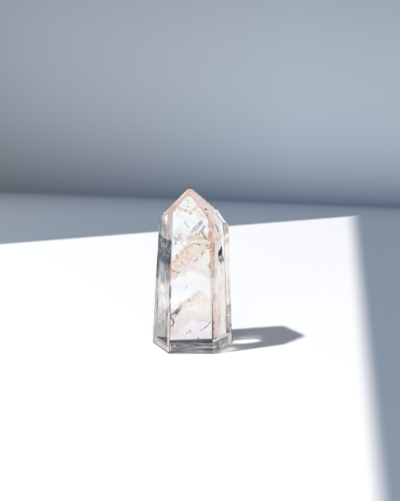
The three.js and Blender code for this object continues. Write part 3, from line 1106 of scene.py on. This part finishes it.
def add_grains():
    """Small rusty, dark and pale crystals grown into the stone"""
    rng = random.Random(61)
    rust, dark, pale = [], [], []

    def keep(into, p, size, tone):
        if depth_inside(p) > MIDDLE_MARGIN:
            into.append(one_speck(rng, p, size, None, None, tone))

    def group(into, centre, spread, count, size, tone):
        for _ in range(count):
            keep(into, Vector(centre) + Vector(rng.gauss(0, s) for s in spread), size, tone)

    def line(into, a, b, spread, count, size, tone):
        for _ in range(count):
            p = Vector(a).lerp(Vector(b), rng.random())
            keep(into, p + Vector(rng.gauss(0, spread) for _ in range(3)), size, tone)

    def chain(into, points, spread, each, size, tone):
        for a, b in zip(points, points[1:]):
            line(into, a, b, spread, each, size, tone)

    # The shoulder line, the purple diagonal, and marks in the upper growth zone
    chain(rust, [(-1.2, -6.1, 48.9), (2.2, -6.1, 49.0), (5.4, -6.1, 48.8), (6.7, -6.1, 47.6)], 0.34, 15,
          (0.24, 0.18, 0.12), 0.4)
    line(rust, (0.3, -5.0, 39.9), (6.7, -4.8, 47.2), 0.28, 40, (0.24, 0.16, 0.12), 0.8)
    chain(rust, [(-9.5, -6.3, 39.2), (-8.7, -6.1, 37.4), (-6.4, -6.1, 36.3), (-4.6, -6.1, 36.4)], 0.14, 13,
          (0.25, 0.16, 0.12), 0.5)
    group(rust, (-6.4, -4.9, 42.6), (0.3, 0.5, 0.5), 8, (0.25, 0.2, 0.12), 0.45)
    group(rust, (-4.8, -5.0, 40.6), (0.5, 0.5, 0.4), 8, (0.25, 0.2, 0.12), 0.4)

    # The branching dark cluster on the lower chevron's left arm, with rusty grains below it
    chain(dark, [(-10.1, -6.8, 16.2), (-8.35, -6.7, 17.4), (-7.05, -6.7, 18.7), (-5.85, -6.6, 19.0),
                 (-5.1, -6.6, 20.8), (-4.9, -6.6, 22.3)], 0.48, 13, (0.24, 0.17, 0.12), 0.45)
    chain(dark, [(-7.3, -6.7, 15.6), (-6.7, -6.7, 17.2), (-5.85, -6.6, 19.0)], 0.25, 10,
          (0.22, 0.15, 0.12), 0.4)
    chain(dark, [(-9.6, -6.7, 22.6), (-9.2, -6.7, 19.9), (-8.4, -6.7, 18.0)], 0.3, 8, (0.2, 0.14, 0.1), 0.3)
    group(dark, (-5.85, -6.6, 19.0), (0.55, 0.3, 0.6), 20, (0.26, 0.18, 0.14), 0.6)
    group(dark, (-8.1, -6.6, 18.0), (0.5, 0.3, 0.4), 14, (0.22, 0.16, 0.12), 0.4)
    group(dark, (-8.9, -6.7, 17.4), (0.75, 0.3, 0.8), 18, (0.26, 0.19, 0.13), 0.4)
    group(dark, (-6.6, -6.7, 17.9), (0.7, 0.3, 0.7), 16, (0.26, 0.19, 0.13), 0.45)
    chain(dark, [(-9.7, -6.7, 17.0), (-9.0, -6.7, 15.2), (-8.0, -6.7, 13.4)], 0.35, 15,
          (0.24, 0.18, 0.12), 0.45)
    group(rust, (-7.6, -6.8, 19.9), (1.0, 0.3, 0.9), 18, (0.16, 0.12, 0.09), 0.75)
    chain(rust, [(-8.4, -7.9, 15.3), (-7.9, -7.9, 14.0), (-8.2, -7.9, 12.6), (-9.6, -7.9, 12.1)], 0.22, 12,
          (0.24, 0.18, 0.12), 0.45)
    chain(rust, [(-10.3, -7.9, 12.4), (-10.4, -7.9, 13.8), (-9.7, -7.9, 14.9)], 0.2, 8,
          (0.2, 0.15, 0.1), 0.25)

    # Near the right front edge and in the right face
    group(rust, (11.2, -3.0, 39.7), (0.6, 0.5, 0.6), 12, (0.24, 0.18, 0.12), 0.6)
    for s, z, n in ((5.2, 42.0, 16), (5.6, 40.9, 12), (3.9, 41.0, 12)):
        group(dark, under(RIGHT, s, z, 1.0), (0.35, 0.35, 0.55), n, (0.26, 0.18, 0.12), 0.4)
    group(dark, under(RIGHT, 4.0, 40.4, 0.9), (0.25, 0.25, 0.25), 10, (0.26, 0.2, 0.14), 0.7)
    line(dark, under(RIGHT, 9.2, 8.4, 0.8), under(RIGHT, 9.4, 6.2, 0.8), 0.15, 12, (0.3, 0.2, 0.14), 0.5)

    # In the tip
    for s, z, n in ((-6.0, 63.4, 6), (-0.3, 61.7, 7), (1.4, 63.0, 6), (2.0, 63.5, 5), (5.6, 60.2, 5),
                    (-2.6, 66.0, 5)):
        group(rust, under(TIP_FRONT, s, z, 1.0), (0.3, 0.1, 0.2), n, (0.18, 0.12, 0.08), 0.25)
    for s, z, n in ((-3.4, 64.1, 4), (-1.7, 63.8, 5), (-0.65, 61.0, 6), (3.9, 60.6, 4), (-2.6, 62.2, 4)):
        group(rust, under(TIP_FRONT, s, z, 1.0), (0.25, 0.1, 0.2), n, (0.2, 0.14, 0.09), 0.25)
    # Two black marks lie flat, just in front of the tip's film.
    for s, z, wide, high, count, way in ((5.9, 63.1, 0.35, 0.10, 7, (1, 0, 0)),
                                         (6.5, 61.3, 0.14, 0.30, 6, (0.3, 0.47, 0.88))):
        for _ in range(count):
            p = under(TIP_FRONT, rng.gauss(s, wide), rng.gauss(z, high), 0.2)
            dark.append(one_speck(rng, p, (0.28, 0.19, 0.05), TIP_FRONT[0], way, 0.95, 0.0))
    group(dark, under(TIP_FRONT, 3.3, 53.7, 0.8), (0.25, 0.1, 0.12), 6, (0.22, 0.16, 0.10), 0.7)
    group(rust, under(TIP_FRONT, 1.8, 53.6, 0.8), (0.5, 0.1, 0.14), 9, (0.2, 0.14, 0.09), 0.3)
    group(dark, under(SHOULDER_RIGHT, 3.3, 55.0, 0.3), (0.12, 0.12, 0.6), 14, (0.3, 0.22, 0.12), 0.75)
    group(rust, under(SHOULDER_RIGHT, 3.0, 56.4, 0.3), (0.2, 0.2, 0.4), 8, (0.24, 0.18, 0.1), 0.3)
    group(rust, under(SHOULDER_RIGHT, 4.2, 51.8, 0.4), (0.3, 0.3, 0.4), 8, (0.2, 0.15, 0.1), 0.6)

    # Low down: three dots, specks left of the edge, and pale grains, one small group of them a painted glint
    group(rust, (-1.0, -6.1, 9.2), (0.12, 0.1, 0.12), 3, (0.28, 0.22, 0.2), 0.6)
    group(dark, (-2.1, -6.1, 8.3), (0.15, 0.1, 0.12), 3, (0.25, 0.2, 0.16), 0.3)
    group(dark, (2.4, -6.2, 5.9), (0.25, 0.1, 0.1), 3, (0.26, 0.2, 0.16), 0.4)
    group(dark, (-2.4, -4.4, 28.7), (0.2, 0.3, 0.4), 3, (0.22, 0.16, 0.12), 0.2)
    group(dark, (-1.4, -4.6, 23.3), (0.2, 0.3, 0.4), 4, (0.22, 0.16, 0.12), 0.3)
    group(rust, (-12.6, -3.8, 14.9), (0.25, 0.3, 0.3), 5, (0.26, 0.2, 0.14), 0.05)
    group(rust, (-10.8, -6.4, 14.3), (0.25, 0.3, 0.3), 5, (0.28, 0.22, 0.14), 0.05)
    group(dark, under(LEFT, -0.6, 18.0, 0.7), (0.6, 0.6, 0.8), 18, (0.22, 0.16, 0.1), 0.35)
    group(dark, under(LEFT, -4.5, 17.5, 0.7), (0.9, 0.9, 1.5), 16, (0.2, 0.14, 0.1), 0.25)
    group(pale, under(LEFT, -5.3, 13.0, 0.6), (0.8, 0.8, 1.0), 46, (0.24, 0.18, 0.12), 0.2)
    # This small group stands for a glint low on the left face: painted glint.
    group(pale, under(LEFT, -5.7, 3.2, 0.6), (0.3, 0.3, 0.5), 10, (0.3, 0.2, 0.12), 0.1)
    group(pale, under(FRONT, -9.3, 3.0, 0.3), (0.1, 0.1, 1.0), 20, (0.3, 0.2, 0.12), 0.1)
    add_specks("rusty_grains", RUST, rust, 62, OCTA)
    add_specks("dark_grains", DARK, dark, 63, OCTA)
    add_specks("pale_grains_and_glint", DUST, pale, 64, OCTA)
    # A gold star of grains near the foot stands for a glint: painted glint.
    glint_star = [(tuple(under(FRONT, -7.6, 3.65, 0.5)), way, (0, -1, 0.035), size, 0.4) for size, way in (
        ((1.15, 0.28, 0.08), (1, 0, 0.08)), ((0.95, 0.26, 0.08), (0.08, 0, 1)),
        ((0.5, 0.4, 0.08), (1, 0, 0.8)))]
    add_specks("gold_glint", GLINT_GOLD, glint_star, 65, OCTA)


# Flakes: name, material, face, depth below it, height of the ridge, tone, and the outline as (place along the
# face, height)
FLAKES = [
    ("silver_leaf", SILVER, TIP_FRONT, 1.2, 0.35, 0.5, [
        (4.0, 58.7), (2.3, 56.9), (0.7, 55.7), (-0.4, 54.2), (0.3, 53.8), (1.4, 54.6), (2.8, 55.0),
        (3.7, 56.7), (4.9, 58.1)]),
    ("silver_blade", SILVER, TIP_FRONT, 0.9, 0.2, 0.5, [
        (6.0, 56.9), (5.1, 56.7), (3.7, 55.0), (3.05, 54.0), (3.7, 54.0), (5.1, 55.3)]),
    ("smoky_triangle", SMOKY_TINT, FRONT, 0.9, 0.2, 0.5, [
        (6.3, 40.0), (7.4, 41.8), (8.05, 41.2), (8.05, 38.4)]),
    ("drop_shade", SMOKY_TINT, RIGHT, 1.0, 0.1, 0.75, [
        (2.3, 43.4), (2.8, 41.0), (4.3, 39.8), (5.2, 40.2), (5.7, 41.6), (5.2, 43.1)]),
    ("black_drop", DARK, RIGHT, 0.8, 0.25, 0.6, [
        (4.8, 47.3), (4.16, 47.1), (3.5, 45.9), (2.8, 45.9), (2.3, 44.3), (2.4, 43.3), (3.6, 43.1),
        (4.8, 43.3), (5.0, 45.2)]),
]
# Silver slivers under the tip's front face: two ends of their line, how far beside it, half sizes, how many
SLIVERS = [
    ((0.4, 54.2, 1.05), (4.3, 58.4, 1.05), 0.9, (0.8, 0.09, 0.04), 34),
    ((3.4, 54.2, 0.85), (5.8, 56.8, 0.85), 0.3, (0.7, 0.08, 0.04), 9),
]


def add_flakes():
    for name, material, face, below, lift, tone, outline in FLAKES:
        add_leaf(name, material, [under(face, s, z, below) for s, z in outline], lift, tone)
    add_threads("brown_threads", RUST, [
        ([(-3.4, -0.5, 56.9), (-2.6, -1.1, 55.6), (-2.1, -1.5, 54.8), (-0.9, -2.0, 54.1)], 0.11, 0.5),
        ([(3.3, -6.1, 9.6), (4.4, -6.1, 10.0)], 0.13, 0.75),
        ([(4.2, -6.1, 9.9), (5.4, -6.1, 10.7), (6.6, -6.1, 12.0), (8.0, -6.0, 13.6)], 0.20, 0.55),
        ([under(TIP_FRONT, s, z, 1.0) for s, z in ((1.6, 60.6), (4.0, 60.2), (6.7, 59.9))], 0.07, 0.1),
        ([under(TIP_FRONT, s, z, 0.9) for s, z in ((4.1, 54.6), (5.3, 53.2), (6.4, 51.6))], 0.34, 0.12),
    ], 71)
    rng = random.Random(72)
    flat = TIP_FRONT[0]
    # All slivers lie the way that the first line runs.
    way = under(TIP_FRONT, *SLIVERS[0][1]) - under(TIP_FRONT, *SLIVERS[0][0])
    aside = way.cross(flat).normalized()
    slivers = []
    for start, end, beside, size, count in SLIVERS:
        a, b = under(TIP_FRONT, *start), under(TIP_FRONT, *end)
        for _ in range(count):
            p = a.lerp(b, rng.uniform(0.1, 0.9)) + aside * rng.uniform(-beside, beside)
            slivers.append(one_speck(rng, p, size, flat, way, None))
    add_specks("silver_slivers", SMOKE, slivers, 73)


add_camera()
add_key_light()
add_fill_light()
add_gleams()
add_room()
add_floor()
add_stone()
add_growth_films()
add_tip_films()
add_edge_stains()
add_left_films()
add_right_films()
add_foot_films()
add_wisps()
add_grains()
add_flakes()
bpy.context.scene.view_settings.view_transform = "Standard"
